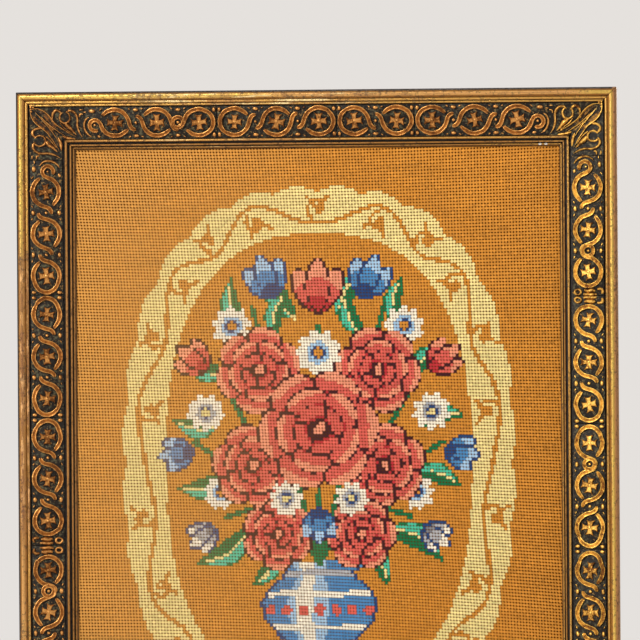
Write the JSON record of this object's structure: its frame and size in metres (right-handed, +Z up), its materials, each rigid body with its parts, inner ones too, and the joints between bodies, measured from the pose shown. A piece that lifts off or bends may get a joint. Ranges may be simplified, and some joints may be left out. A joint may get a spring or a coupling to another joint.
{
  "type": "framed needlepoint picture",
  "caption": "Upright needlepoint picture in wool tent stitch on canvas, held in a gilded wooden frame with guilloche ornament and leaf corners.",
  "frame": {"origin": "on the flat back of the top rail, half way along it and half way up that face", "axes": "+Z up the picture, +Y into the wall, -Y out of the picture's face, +X to the viewer's right"},
  "size_m": [0.403, 0.024, 0.5],
  "materials": {
    "gilded_wood": "antique gilding worn along the mouldings, dark in the grooves",
    "gilded_ornament": "moulded composition, gilded on the raised strands, dark patina in the ground",
    "wool_stitching": "wool tent stitch on cotton canvas"
  },
  "bodies": {
    "root": {"rail_top": "gilded_wood", "rail_bottom": "gilded_wood", "rail_left": "gilded_wood", "rail_right": "gilded_wood", "strip_top_1": "gilded_ornament", "strip_top_2": "gilded_ornament", "strip_top_3": "gilded_ornament", "strip_top_4": "gilded_ornament", "strip_bottom_1": "gilded_ornament", "strip_bottom_2": "gilded_ornament", "strip_bottom_3": "gilded_ornament", "strip_bottom_4": "gilded_ornament", "strip_left_1": "gilded_ornament", "strip_left_2": "gilded_ornament", "strip_left_3": "gilded_ornament", "strip_left_4": "gilded_ornament", "strip_left_5": "gilded_ornament", "strip_right_1": "gilded_ornament", "strip_right_2": "gilded_ornament", "strip_right_3": "gilded_ornament", "strip_right_4": "gilded_ornament", "strip_right_5": "gilded_ornament", "corner_top_left": "gilded_ornament", "corner_top_right": "gilded_ornament", "corner_bottom_left": "gilded_ornament", "corner_bottom_right": "gilded_ornament", "needlepoint": "wool_stitching"}
  },
  "joints": []
}
